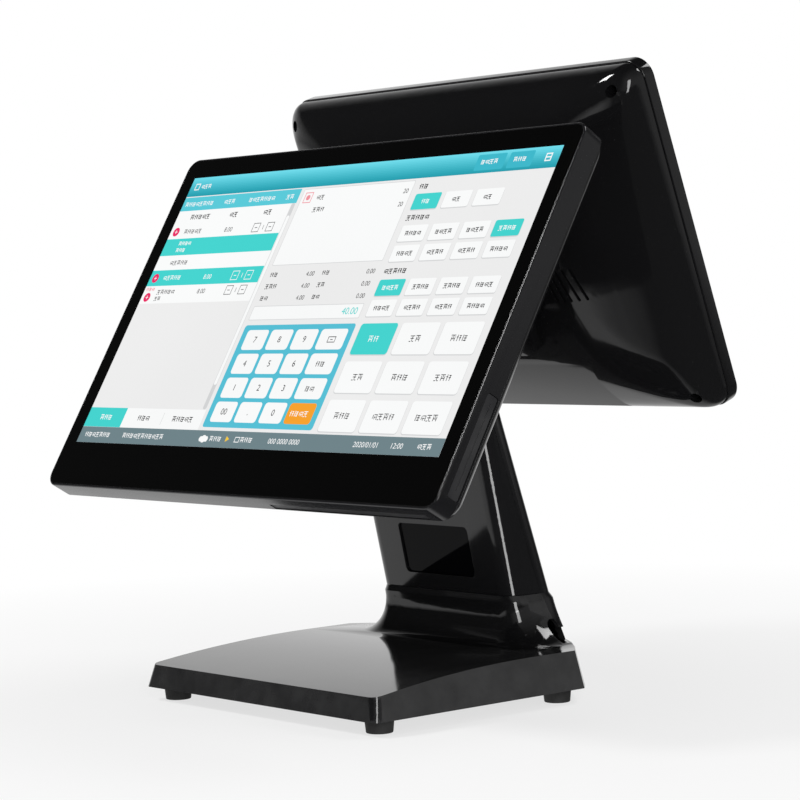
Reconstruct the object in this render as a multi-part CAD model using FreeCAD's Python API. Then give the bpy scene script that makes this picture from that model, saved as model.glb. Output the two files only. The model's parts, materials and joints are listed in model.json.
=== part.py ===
"""Two-screen point-of-sale touch terminal: a wedge base with a leaning neck that carries two displays.

The cashier's display faces -Y, the customer's display faces +Y, and +X is the cashier's right.
The origin lies on the counter, below the middle of the whole terminal. The shapes are drawn around the
centre of the four feet and moved there as they are written. All sizes are in millimetres.
"""
import FreeCAD, Part
import math
import os

V = FreeCAD.Vector
UP = V(0, 0, 1)
SIDEWAYS = V(1, 0, 0)

FEET_CENTRE_Y = -32.44         # the centre of the four feet, from the origin

# Driving dimensions of the stand
FOOT_X = 95.7                  # feet, from the centre plane
FOOT_Y = 69.1                  # feet, from their centre
FOOT_RADIUS = 8.5
FOOT_HEIGHT = 8.1              # the underside of the base is this high
BASE_HALF_WIDTH = 110.0
BASE_FRONT_Y = -84.3
BASE_SIDE_END_Y = 78.0         # where the straight sides meet the round rear edge
BASE_REAR_Y = 127.5
BASE_FRONT_TOP_Z = 21.2
BASE_REAR_TOP_Z = 30.4
BASE_CREST_Y = 42.0            # the top is level behind this line
BASE_DRAFT = 0.235             # how far the walls lean in, per unit of height
BASE_WALL = 2.6
NECK_HALF_WIDTH = 61.5
NECK_CORNER = 11.0
NECK_FRONT_LEAN = 0.213        # Y per unit of Z
NECK_REAR_LEAN = 0.3375
NECK_FRONT_Y = 66.5            # front face at the height of the foot's top
NECK_REAR_Y = 103.6            # rear face at the same height
NECK_WALL = 2.5
NECK_TOP_Z = 204.0
FOOT_TOP_Z = 60.0              # top of the flared neck foot
FOOT_PROUD = 1.8
FOOT_FRONT_FLARE = 18.0        # how far the foot runs out onto the base
FOOT_SIDE_FLARE = 28.0
SHOULDER_HEIGHT = 3.5
REAR_COVER_DEPTH = 13.0        # seam to rear face, along Y
REAR_COVER_BOTTOM_Z = 39.0
SEAM = 0.3
WINDOW_HALF_WIDTH = 32.0
WINDOW_BOTTOM_Z = 70.0
WINDOW_TOP_Z = 101.3
NECK_FOOT_BOLTS = [(x, y) for x in (-34.0, 34.0) for y in (68.0, 106.0)]

# Driving dimensions of the hinges
MAIN_AXIS_Y = 30.0
MAIN_AXIS_Z = 226.0
CUSTOMER_AXIS_Y = 66.0
CUSTOMER_AXIS_Z = 226.0
SHAFT_RADIUS = 5.0
SHAFT_FIT = 0.05
BARREL_RADIUS = 14.0
BARREL_HALF_WIDTH = 38.0
EAR_INNER_X = 38.6
EAR_OUTER_X = 61.0
CHEEK_INNER_X = 44.0
CHEEK_THICKNESS = 4.0
LUG_INNER_X = 27.0
LUG_THICKNESS = 4.0

# Driving dimensions of the power button
BUTTON_Y = -72.0               # up the display from the middle of the picture
BUTTON_DEPTH = 10.6            # behind the glass
BUTTON_LENGTH = 12.0
BUTTON_WIDTH = 4.6
BUTTON_PROUD = 0.4
BUTTON_FIT = 0.15

# Driving dimensions of the trim on the cashier's display and of the connector bay under it
READER_COVER_Y = (-117.0, -55.0)
READER_COVER_DEPTH = (13.4, 5.2)
PORT_COVER_X = (36.0, 170.0)
PORT_COVER_DEPTH = (13.4, 8.0)
TRIM_POCKET = 1.2
TRIM_RECESS = 0.4
BAY_HALF_WIDTH = 66.0
BAY_ROOF_Y = -92.0
BAY_FLOOR_DEPTH = 19.0
SHELL_WALL = 2.4

HEADS = {
    "main": dict(
        picture=(344.2, 193.6), side=12.7, top=14.6, bottom=30.7, corner=9.0,
        frame_depth=14.6, deep=38.0,
        origin=(0.0, -37.3, 240.6), lean=30.8, faces_back=False,
        cover=((14.6, 0.8, 0.8, 0.8, 8.5), (18.0, 2.4, 3.6, 2.4, 9.0),
               (23.0, 8.5, 11.0, 7.5, 14.0), (30.0, 28.0, 26.0, 16.0, 20.0),
               (35.5, 47.0, 40.0, 28.0, 24.0), (38.0, 60.0, 52.0, 40.0, 26.0))),
    "customer": dict(
        picture=(293.8, 165.2), side=12.3, top=24.0, bottom=25.8, corner=12.0,
        frame_depth=8.3, deep=48.0,
        origin=(0.0, 131.2, 277.1), lean=19.55, faces_back=True,
        cover=((8.3, 0.8, 0.8, 0.8, 11.5), (17.0, 2.2, 2.2, 2.2, 12.0),
               (25.0, 8.5, 7.5, 7.5, 17.0), (35.0, 29.0, 20.0, 20.0, 26.0),
               (44.0, 54.0, 36.0, 36.0, 34.0), (48.0, 70.0, 46.0, 46.0, 36.0))),
}

os.makedirs("parts", exist_ok=True)


# ---------------------------------------------------------------- shapes that are used again and again

def save(name, shape):
    """Write one node; every solid in it is checked first."""
    bad = [solid for solid in shape.Solids if not solid.isValid() or solid.Volume <= 0]
    if bad or not shape.Solids:
        print("CHECK", name, "has", len(bad), "bad solids of", len(shape.Solids))
    shape = shape.copy()
    shape.translate(V(0, FEET_CENTRE_Y, 0))
    shape.exportStep("parts/%s.step" % name)
    print("%-28s solids %2d  volume %10.1f" % (name, len(shape.Solids), shape.Volume))


def group(solids):
    return Part.makeCompound(list(solids))


def block(x0, x1, y0, y1, z0, z1):
    return Part.makeBox(x1 - x0, y1 - y0, z1 - z0, V(x0, y0, z0))


def rod(radius, length, base, direction=UP):
    return Part.makeCylinder(radius, length, V(*base), direction)


def ring(outer, inner, length, base, direction=UP):
    return rod(outer, length, base, direction).cut(rod(inner, length, base, direction))


def rounded_wire(x0, x1, y0, y1, z, radius):
    """A closed rectangle with round corners, level at height z."""
    r = max(0.05, min(radius, (x1 - x0) / 2 - 0.05, (y1 - y0) / 2 - 0.05))
    k = r * (1 - math.sqrt(0.5))
    line = Part.LineSegment
    arc = Part.Arc
    edges = [
        line(V(x0 + r, y0, z), V(x1 - r, y0, z)),
        arc(V(x1 - r, y0, z), V(x1 - k, y0 + k, z), V(x1, y0 + r, z)),
        line(V(x1, y0 + r, z), V(x1, y1 - r, z)),
        arc(V(x1, y1 - r, z), V(x1 - k, y1 - k, z), V(x1 - r, y1, z)),
        line(V(x1 - r, y1, z), V(x0 + r, y1, z)),
        arc(V(x0 + r, y1, z), V(x0 + k, y1 - k, z), V(x0, y1 - r, z)),
        line(V(x0, y1 - r, z), V(x0, y0 + r, z)),
        arc(V(x0, y0 + r, z), V(x0 + k, y0 + k, z), V(x0 + r, y0, z)),
    ]
    return Part.Wire([edge.toShape() for edge in edges])


def pad(x0, x1, y0, y1, z0, z1, radius):
    """A plate with round corners."""
    return Part.Face(rounded_wire(x0, x1, y0, y1, z0, radius)).extrude(V(0, 0, z1 - z0))


def slab_along_x(points, x0, x1):
    """A closed outline of (y, z) points, drawn out along X."""
    corners = [V(x0, y, z) for y, z in points]
    return Part.Face(Part.makePolygon(corners + corners[:1])).extrude(V(x1 - x0, 0, 0))


def pan_screw(base, direction, shank, length, head_radius, head_height):
    """A screw whose head sits on base and whose shank runs along direction; the head has a cross recess."""
    axis = V(*direction)
    axis.normalize()
    at = V(*base)
    head = rod(head_radius, head_height, tuple(at - axis * head_height), axis)
    body = head.fuse(rod(shank, length, tuple(at), axis))
    slot_depth = head_height * 0.55
    cross = block(-head_radius * 0.6, head_radius * 0.6, -0.35, 0.35, 0, slot_depth)
    cross = cross.fuse(block(-0.35, 0.35, -head_radius * 0.6, head_radius * 0.6, 0, slot_depth))
    cross.Placement = FreeCAD.Placement(at - axis * head_height, FreeCAD.Rotation(UP, axis))
    return body.cut(cross)


def mirrored(shape):
    return shape.mirror(V(0, 0, 0), SIDEWAYS)


# ---------------------------------------------------------------- base

def rear_radius():
    """Radius of the round rear edge through both side ends and the rearmost point."""
    rise = BASE_REAR_Y - BASE_SIDE_END_Y
    return (BASE_HALF_WIDTH ** 2 + rise ** 2) / (2 * rise)


def base_block(inset, z0, z1):
    """The base's plan with drafted walls, moved inwards by inset, between two heights."""
    def level(z):
        lean = inset + (z - FOOT_HEIGHT) * BASE_DRAFT
        half = BASE_HALF_WIDTH - lean
        return rounded_wire(-half, half, BASE_FRONT_Y + lean, BASE_REAR_Y + 30, z, max(1.5, 6.0 - inset))

    radius = rear_radius()
    walls = Part.makeLoft([level(z0), level(z1)], True, True)
    low = radius - inset - (z0 - FOOT_HEIGHT) * BASE_DRAFT
    high = radius - inset - (z1 - FOOT_HEIGHT) * BASE_DRAFT
    round_rear = Part.makeCone(low, high, z1 - z0, V(0, BASE_REAR_Y - radius, z0))
    return walls.common(round_rear)


def under_crown(lower):
    """Everything below the base's crowned top, which is lowered by the given amount."""
    y0 = BASE_FRONT_Y
    middle = (y0 + BASE_CREST_Y) / 2
    middle_z = BASE_REAR_TOP_Z - (BASE_REAR_TOP_Z - BASE_FRONT_TOP_Z) * 0.25
    front = V(-130, y0, BASE_FRONT_TOP_Z - lower)
    crest = V(-130, BASE_CREST_Y, BASE_REAR_TOP_Z - lower)
    rear = V(-130, BASE_REAR_Y + 10, BASE_REAR_TOP_Z - lower)
    corners = [rear, V(-130, BASE_REAR_Y + 10, 0), V(-130, y0 - 10, 0)]
    corners.append(V(-130, y0 - 10, BASE_FRONT_TOP_Z - lower - 2))
    edges = [Part.Arc(front, V(-130, middle, middle_z - lower), crest).toShape(), Part.makeLine(crest, rear)]
    edges += [Part.makeLine(a, b) for a, b in zip(corners, corners[1:] + [front])]
    return Part.Face(Part.Wire(edges)).extrude(V(260, 0, 0))


def neck_wire(z, grow, rear_grow=None, side_grow=None):
    """The neck's level section; grow moves the outline outwards, unless the rear or sides have their own."""
    rise = z - FOOT_TOP_Z
    front = NECK_FRONT_Y - NECK_FRONT_LEAN * rise - grow
    rear = NECK_REAR_Y - NECK_REAR_LEAN * rise + (grow if rear_grow is None else rear_grow)
    sides = grow if side_grow is None else side_grow
    half = NECK_HALF_WIDTH + sides
    return rounded_wire(-half, half, front, rear, z, max(1.0, NECK_CORNER + (grow + sides) / 2))


def neck_block(z0, z1, grow):
    return Part.makeLoft([neck_wire(z0, grow), neck_wire(z1, grow)], True, True)


def foot_block(inset):
    """The neck's foot: a soft shoulder over a hollow curve that runs out onto the base on three sides."""
    low = BASE_REAR_TOP_Z - 0.5
    high = FOOT_TOP_Z - SHOULDER_HEIGHT
    edge = FOOT_PROUD - inset

    def wire(z, share):
        return neck_wire(z, edge + FOOT_FRONT_FLARE * share, edge, edge + FOOT_SIDE_FLARE * share)

    wires = []
    for degrees in (8.0, 28.5, 49.0, 69.5, 90.0):
        angle = math.radians(degrees)
        wires.append(wire(low + (high - low) * (1 - math.cos(angle)), 1 - math.sin(angle)))
    flare = Part.makeLoft(wires, True, False)
    root = Part.makeLoft([wire(low - 8, 0.8), wires[0]], True, True)
    shoulder = Part.makeLoft([wires[-1], neck_wire(FOOT_TOP_Z, -inset)], True, True)
    return root.fuse(flare).fuse(shoulder)


def behind_seam(gap):
    """Everything behind the side seam of the neck, which runs parallel to the rear face."""
    def y_at(z):
        return NECK_REAR_Y - REAR_COVER_DEPTH - NECK_REAR_LEAN * (z - FOOT_TOP_Z) + gap

    points = [(y_at(0), 0), (y_at(0) + 120, 0), (y_at(260) + 120, 260), (y_at(260), 260)]
    return slab_along_x(points, -130, 130)


def rear_cover_zone(gap):
    """The space that the neck's rear cover takes up."""
    return behind_seam(gap).common(block(-130, 130, -50, 200, REAR_COVER_BOTTOM_Z + gap, 260))


def cable_outlet():
    """An arch through the right side of the foot, where the leads leave the stand."""
    arch = pad(-8.5, 8.5, 0, 13.5, 0, 34, 5.5).fuse(block(-8.5, 8.5, 0, 5, 0, 34))
    turn = FreeCAD.Rotation(V(0, 1, 0), UP, SIDEWAYS, "ZYX")
    arch.Placement = FreeCAD.Placement(V(48, 97.0, BASE_REAR_TOP_Z + 0.6), turn)
    return arch


def base_pieces():
    wall = BASE_WALL
    skin = base_block(0, FOOT_HEIGHT, 46).common(under_crown(0))
    foot = foot_block(0).common(base_block(0, FOOT_HEIGHT, 70))
    hollow = base_block(wall, FOOT_HEIGHT, 46).common(under_crown(wall))
    foot_hollow = foot_block(wall).common(base_block(wall, FOOT_HEIGHT, 70))
    foot_hollow = foot_hollow.cut(block(-130, 130, -50, 200, FOOT_TOP_Z - 2.5, 80))
    outer = skin.fuse(foot).removeSplitter()
    cover = outer.cut(hollow.fuse(foot_hollow))
    throat = neck_block(FOOT_TOP_Z - 6, FOOT_TOP_Z + 2, -6.0)
    cover = cover.cut(throat).cut(rear_cover_zone(0)).cut(cable_outlet())
    plate = base_block(wall + 0.3, FOOT_HEIGHT, FOOT_HEIGHT + 2.0)
    posts = []
    screws = []
    post_places = [(x, y) for y in (-66.0, 10.0, 66.0) for x in (-84.0, 84.0)]
    roof = base_block(wall - 0.5, FOOT_HEIGHT, 46).common(under_crown(wall - 0.5))
    for x, y in post_places:
        posts.append(ring(4.0, 1.3, 40, (x, y, FOOT_HEIGHT + 2.0)).common(roof))
        screws.append(pan_screw((x, y, FOOT_HEIGHT + 1.0), (0, 0, 1), 1.3, 7.5, 3.0, 1.8))
        plate = plate.cut(rod(3.3, 1.0, (x, y, FOOT_HEIGHT))).cut(rod(1.5, 3, (x, y, FOOT_HEIGHT)))
    for x, y in NECK_FOOT_BOLTS:
        plate = plate.cut(rod(2.0, 3, (x, y, FOOT_HEIGHT)))
    for post in posts:
        cover = cover.fuse(post)
    save("base_cover", cover)
    feet = []
    for x in (-FOOT_X, FOOT_X):
        for y in (-FOOT_Y, FOOT_Y):
            foot_body = Part.makeCone(FOOT_RADIUS - 0.8, FOOT_RADIUS, FOOT_HEIGHT - 0.4, V(x, y, 0))
            foot_body = foot_body.fuse(rod(5.0, 1.4, (x, y, FOOT_HEIGHT - 0.4)))
            feet.append(foot_body)
            plate = plate.cut(rod(5.0, 1.0, (x, y, FOOT_HEIGHT)))
    save("base_plate", plate)
    save("rubber_feet", group(feet))
    save("base_screws", group(screws))
    ballast = pad(-62, 62, -62, 36, FOOT_HEIGHT + 2.0, FOOT_HEIGHT + 10.0, 6)
    for x, y in ((-50, -50), (50, -50), (-50, 24), (50, 24)):
        ballast = ballast.cut(rod(2.6, 12, (x, y, FOOT_HEIGHT + 1)))
    save("base_ballast", ballast)
    bolts = [pan_screw((x, y, FOOT_HEIGHT + 10.0), (0, 0, -1), 2.0, 8.0, 4.0, 2.2)
             for x, y in ((-50, -50), (50, -50), (-50, 24), (50, 24))]
    save("ballast_bolts", group(bolts))


# ---------------------------------------------------------------- neck

def web_y(z):
    """The rear face of the steel neck frame's web, halfway through the neck."""
    front = NECK_FRONT_Y - NECK_FRONT_LEAN * (z - FOOT_TOP_Z)
    rear = NECK_REAR_Y - NECK_REAR_LEAN * (z - FOOT_TOP_Z)
    return (front + rear) / 2


def leaning_web(z0, z1, x, thickness):
    """A plate that follows the neck's middle; a negative thickness puts it in front of the web line."""
    points = [(web_y(z0), z0), (web_y(z0) + thickness, z0), (web_y(z1) + thickness, z1), (web_y(z1), z1)]
    return slab_along_x(points, -x, x)


def on_neck_front(shape, z):
    """Move a shape drawn flat (x, up, outwards) onto the neck's leaning front face at height z."""
    lean = math.degrees(math.atan(NECK_FRONT_LEAN))
    y = NECK_FRONT_Y - NECK_FRONT_LEAN * (z - FOOT_TOP_Z)
    shape.Placement = FreeCAD.Placement(V(0, y, z), FreeCAD.Rotation(SIDEWAYS, 90 + lean))
    return shape


def neck_pieces():
    bottom = FOOT_TOP_Z + SEAM
    hull = neck_block(bottom, NECK_TOP_Z - SEAM, 0)
    core = neck_block(bottom - 1, NECK_TOP_Z + 1, -NECK_WALL)
    window_middle = (WINDOW_BOTTOM_Z + WINDOW_TOP_Z) / 2
    window_half = (WINDOW_TOP_Z - WINDOW_BOTTOM_Z) / 2 / math.cos(math.atan(NECK_FRONT_LEAN))
    wide = WINDOW_HALF_WIDTH
    hole = on_neck_front(pad(-wide, wide, -window_half, window_half, -6, 3, 3.0), window_middle)
    front = hull.cut(core).cut(behind_seam(-SEAM)).cut(hole)
    save("neck_front_shell", front)
    step = 0.25
    raised = pad(-wide + step, wide - step, -window_half + step, window_half - step, -2.7, -1.4, 2.8)
    flange = pad(-wide - 3, wide + 3, -window_half - 3, window_half + 3, -4.2, -2.7, 4.0)
    save("neck_window", on_neck_front(raised.fuse(flange), window_middle))

    foot_core = foot_block(BASE_WALL).common(base_block(BASE_WALL, FOOT_HEIGHT, 70))
    foot_core = foot_core.cut(block(-130, 130, -50, 200, FOOT_TOP_Z - 2.5, 80))
    rear_hull = neck_block(FOOT_TOP_Z - 5, NECK_TOP_Z - SEAM, 0)
    rear_hull = rear_hull.fuse(foot_block(0).common(base_block(0, FOOT_HEIGHT, 70)))
    rear_core = neck_block(FOOT_TOP_Z - 6, NECK_TOP_Z + 1, -NECK_WALL).fuse(foot_core)
    rear = rear_hull.cut(rear_core).common(rear_cover_zone(0.0))
    web = leaning_web(FOOT_HEIGHT + 5.0, 192.0, 43.0, -3.0)
    foot_plate = block(-43, 43, 60, 112, FOOT_HEIGHT + 2.0, FOOT_HEIGHT + 5.0)
    frame = web.fuse(foot_plate)
    rib = [(web_y(13), 13.0), (web_y(13) + 12, 13.0), (web_y(60) + 9, 60.0), (web_y(140) + 6, 140.0),
           (web_y(140), 140.0)]
    for x in (-43.0, 40.0):
        frame = frame.fuse(slab_along_x(rib, x, x + 3.0))
    yoke = leaning_web(150.0, 196.0, 44.0, 3.0)
    cheek = [(web_y(150), 150), (web_y(150) + 6, 150), (52.5, 198), (53.0, 206), (74, 218), (66, 236),
             (30, 236), (22, 218), (42.5, 206), (41.5, 198)]
    for x in (-CHEEK_INNER_X - CHEEK_THICKNESS, CHEEK_INNER_X):
        plate = slab_along_x(cheek, x, x + CHEEK_THICKNESS)
        for y, z in ((MAIN_AXIS_Y, MAIN_AXIS_Z), (CUSTOMER_AXIS_Y, CUSTOMER_AXIS_Z)):
            plate = plate.fuse(rod(10.0, CHEEK_THICKNESS, (x, y, z), SIDEWAYS))
            plate = plate.cut(rod(SHAFT_RADIUS + SHAFT_FIT, CHEEK_THICKNESS + 2, (x - 1, y, z), SIDEWAYS))
        yoke = yoke.fuse(plate)
    bolts = []
    normal = V(0, 1, (NECK_FRONT_LEAN + NECK_REAR_LEAN) / 2)
    normal.normalize()
    for x in (-26.0, 26.0):
        for z in (160.0, 182.0):
            at = V(x, web_y(z), z) - normal * 2.89
            bolts.append(pan_screw(tuple(at), tuple(normal), 2.0, 8.5, 4.0, 2.2))
            bore = rod(2.05, 20, tuple(at - normal * 5), normal)
            yoke = yoke.cut(bore)
            frame = frame.cut(bore)
    for x, y in NECK_FOOT_BOLTS:
        bolts.append(pan_screw((x, y, FOOT_HEIGHT + 5.0), (0, 0, -1), 2.0, 4.6, 4.0, 2.2))
        frame = frame.cut(rod(2.05, 6, (x, y, FOOT_HEIGHT + 1)))
    screws = []
    for x, z in ((-20.0, 100.0), (20.0, 100.0), (-20.0, 172.0), (20.0, 172.0)):
        face = NECK_REAR_Y - NECK_REAR_LEAN * (z - FOOT_TOP_Z)
        start = web_y(z) + (3.4 if z > 150 else 0.4) + 1.1
        post = ring(3.8, 1.55, face - start, (x, start, z), V(0, 1, 0)).common(rear_hull)
        rear = rear.fuse(post).cut(rod(3.3, 12, (x, face - 2.6, z), V(0, 1, 0)))
        rear = rear.cut(rod(1.55, 30, (x, start - 1, z), V(0, 1, 0)))
        screws.append(pan_screw((x, face - 2.6, z), (0, -1, 0), 1.5, face - 2.6 - start + 5.0, 3.0, 1.7))
        through = rod(1.55, 9, (x, start - 8, z), V(0, 1, 0))
        frame = frame.cut(through)
        yoke = yoke.cut(through)
    save("neck_rear_cover", rear)
    save("neck_frame", frame)
    save("hinge_yoke", yoke)
    save("neck_frame_bolts", group(bolts))
    save("neck_cover_screws", group(screws))


def neck_cap():
    """The moulded cap on the neck: a saddle with a hollow ear over each yoke cheek."""
    axes = ((MAIN_AXIS_Y, MAIN_AXIS_Z), (CUSTOMER_AXIS_Y, CUSTOMER_AXIS_Z))
    front = NECK_FRONT_Y - NECK_FRONT_LEAN * (NECK_TOP_Z - FOOT_TOP_Z)
    rear = NECK_REAR_Y - NECK_REAR_LEAN * (NECK_TOP_Z - FOOT_TOP_Z)

    def ear(x0, x1, wall, low):
        radius = BARREL_RADIUS + 1.0 - wall
        top = MAIN_AXIS_Z + radius
        cheek_y = radius * 0.82
        cheek_z = MAIN_AXIS_Z - radius * 0.57
        outline = [(front + wall, low), (rear - wall, low), (rear - wall, NECK_TOP_Z),
                   (CUSTOMER_AXIS_Y + cheek_y, cheek_z), (CUSTOMER_AXIS_Y, top), (MAIN_AXIS_Y, top),
                   (MAIN_AXIS_Y - cheek_y, cheek_z), (front + wall, NECK_TOP_Z)]
        shape = slab_along_x(outline, x0, x1)
        for y, z in axes:
            shape = shape.fuse(rod(radius, x1 - x0, (x0, y, z), SIDEWAYS))
        return shape.removeSplitter()

    cap = neck_block(NECK_TOP_Z, NECK_TOP_Z + 3.0, 0)
    wall = 2.4
    for side in (False, True):
        outer = ear(EAR_INNER_X, EAR_OUTER_X, 0, NECK_TOP_Z)
        rim = [edge for edge in outer.Edges if abs(edge.BoundBox.XMin - EAR_OUTER_X) < 0.01
               and edge.BoundBox.XLength < 0.01 and edge.BoundBox.ZMax > NECK_TOP_Z + 0.5]
        outer = outer.makeFillet(2.5, rim)
        hollow = ear(EAR_INNER_X + wall, EAR_OUTER_X - wall, wall, NECK_TOP_Z - 1)
        if side:
            outer = mirrored(outer)
            hollow = mirrored(hollow)
        cap = cap.fuse(outer).cut(hollow)
    for y, z in axes:
        cap = cap.cut(rod(SHAFT_RADIUS + 0.3, 88, (-44, y, z), SIDEWAYS))
    cable_way = pad(-22, 22, front + 4.0, rear - 4.0, NECK_TOP_Z - 1, NECK_TOP_Z + 4, 3.0)
    save("neck_cap", cap.cut(cable_way))


def hinge_hardware(name, y, z):
    """One hinge: a shaft clamped in the cheeks by spring washers and nuts, with discs at the lugs."""
    end = CHEEK_INNER_X + CHEEK_THICKNESS + 9.4
    save(name + "_hinge_shaft", rod(SHAFT_RADIUS, 2 * end, (-end, y, z), SIDEWAYS))
    washers = []
    nuts = []
    discs = []
    for side in (-1, 1):
        start = CHEEK_INNER_X + CHEEK_THICKNESS
        for step in range(3):
            dish = Part.makeCone(8.0, 6.2, 1.1, V(side * (start + 0.1 + step * 1.2), y, z), V(side, 0, 0))
            washers.append(dish.cut(rod(SHAFT_RADIUS + SHAFT_FIT, 90, (-45 + side * 50, y, z), SIDEWAYS)))
        turns = [math.radians(60 * k) for k in range(7)]
        corners = [V(0, y + 8 * math.cos(turn), z + 8 * math.sin(turn)) for turn in turns]
        hexagon = Part.Face(Part.makePolygon(corners)).extrude(V(side * 5.0, 0, 0))
        hexagon.translate(V(side * (start + 3.8), 0, 0))
        nuts.append(hexagon.cut(rod(SHAFT_RADIUS + SHAFT_FIT, 140, (-70, y, z), SIDEWAYS)))
        disc_start = side * (LUG_INNER_X + LUG_THICKNESS + 0.2)
        discs.append(ring(8.5, SHAFT_RADIUS + SHAFT_FIT, 2.0, (disc_start, y, z), V(side, 0, 0)))
    save(name + "_spring_washers", group(washers))
    save(name + "_hinge_nuts", group(nuts))
    save(name + "_friction_discs", group(discs))


# ---------------------------------------------------------------- displays, drawn flat and then tilted

SINGLE_PIECES = ("power_button", "button_spring", "power_switch_board", "card_reader_cover",
                 "bottom_port_cover", "mainboard", "board_chips", "io_connectors", "cpu_heatsink",
                 "memory_module", "storage_drive", "touch_controller_board")


class Head:
    """One display, drawn flat: x to the viewer's right, y up the glass, z out of the glass."""

    def __init__(self, name, axis_y, axis_z):
        spec = HEADS[name]
        self.name = name
        self.spec = spec
        wide, high = spec["picture"]
        self.half = wide / 2 + spec["side"]
        self.top = high / 2 + spec["top"]
        self.bottom = -high / 2 - spec["bottom"]
        turn = FreeCAD.Rotation(SIDEWAYS, 90 - spec["lean"])
        if spec["faces_back"]:
            turn = FreeCAD.Rotation(SIDEWAYS, spec["lean"] - 90).multiply(FreeCAD.Rotation(UP, 180))
        self.place = FreeCAD.Placement(V(*spec["origin"]), turn)
        axis = self.place.inverse().multVec(V(0, axis_y, axis_z))
        self.axis_y = axis.y
        self.axis_z = axis.z

    def save(self, piece, shape):
        moved = shape.copy()
        moved.transformShape(self.place.toMatrix(), True)
        save(piece if piece in SINGLE_PIECES else self.name + "_" + piece, moved)

    def pad(self, inset, z0, z1, radius=None):
        corner = self.spec["corner"] - inset if radius is None else radius
        half = self.half - inset
        return pad(-half, half, self.bottom + inset, self.top - inset, z0, z1, max(corner, 1.0))

    def cover_wires(self, wall):
        wires = []
        for index, (depth, side, top, bottom, radius) in enumerate(self.spec["cover"]):
            z = -depth + (wall * 0.75 if index else 0.5 if wall else 0)
            grow = wall if index == 0 else wall * 0.75
            half = self.half - side - grow
            low = self.bottom + bottom + grow
            wires.append(rounded_wire(-half, half, low, self.top - top - grow, z, max(2.0, radius - grow)))
        return wires


def side_pad(x0, x1, y, z, length, width, radius):
    """A plate with round corners that lies in a side wall: length along y, width along z."""
    plate = pad(-length / 2, length / 2, -width / 2, width / 2, 0, x1 - x0, radius)
    plate.Placement = FreeCAD.Placement(V(x0, y, z), FreeCAD.Rotation(V(1, 1, 1), 120))
    return plate


def front_frame(head):
    depth = head.spec["frame_depth"]
    outer = head.pad(0, -depth, 0)
    rims = [edge for edge in outer.Edges if abs(edge.BoundBox.ZMin) < 0.01]
    backs = [edge for edge in outer.Edges if abs(edge.BoundBox.ZMax + depth) < 0.01]
    outer = outer.makeFillet(0.9, rims).makeFillet(0.6, backs)
    for room in (head.pad(1.3, -2.4, 1), head.pad(9.0, -5, 1, 2.0), head.pad(2.6, -depth - 1, -4.4)):
        outer = outer.cut(room)
    return outer


def screen_pieces(head):
    wide, high = head.spec["picture"]
    head.save("touch_glass" if head.name == "main" else "cover_glass", head.pad(1.45, -2.35, -0.15))
    module = pad(-wide / 2 - 3.2, wide / 2 + 3.2, -high / 2 - 4.0, high / 2 + 3.0, -7.6, -2.45, 1.5)
    head.save("lcd_panel", module)


def chassis(head, screw_places, notch=None):
    """The pressed steel plate behind the panel, with a standoff for each rear screw."""
    front = -9.2
    shallow = head.spec["frame_depth"] < 9
    plate = head.pad(6.0 if shallow else 3.4, front - 1.2, front, 8.0 if shallow else 4.0)
    for step in range(-2, 3):
        plate = plate.cut(pad(55 * step - 18, 55 * step + 18, 62, 76, front - 2, front + 1, 6.0))
    if notch:
        plate = plate.cut(notch)
    for x, y in screw_places:
        plate = plate.fuse(ring(3.6, 1.55, 3.0, (x, y, front - 4.2)))
    head.save("chassis", plate)
    return front - 4.2


def rear_cover(head, screw_places, seat_z, cut_outs, keep_outs):
    """The domed rear shell with its screw wells. The cut_outs are taken away, the keep_outs stay solid."""
    outer = Part.makeLoft(head.cover_wires(0), True, False)
    hollow = Part.makeLoft(head.cover_wires(SHELL_WALL), True, False)
    for keep_out in keep_outs:
        hollow = hollow.cut(keep_out)
    shell = outer.cut(hollow)
    screws = []
    for x, y in screw_places:
        well = rod(5.6, 60, (x, y, seat_z - 60)).common(outer)
        shell = shell.fuse(well).cut(rod(3.5, 60, (x, y, seat_z - 62.4)))
        shell = shell.cut(rod(1.55, 6, (x, y, seat_z - 4)))
        screws.append(pan_screw((x, y, seat_z - 2.4), (0, 0, 1), 1.5, 5.2, 3.0, 1.9))
    for tool in cut_outs:
        shell = shell.cut(tool)
    head.save("rear_cover", shell)
    head.save("cover_screws", group(screws))


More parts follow.
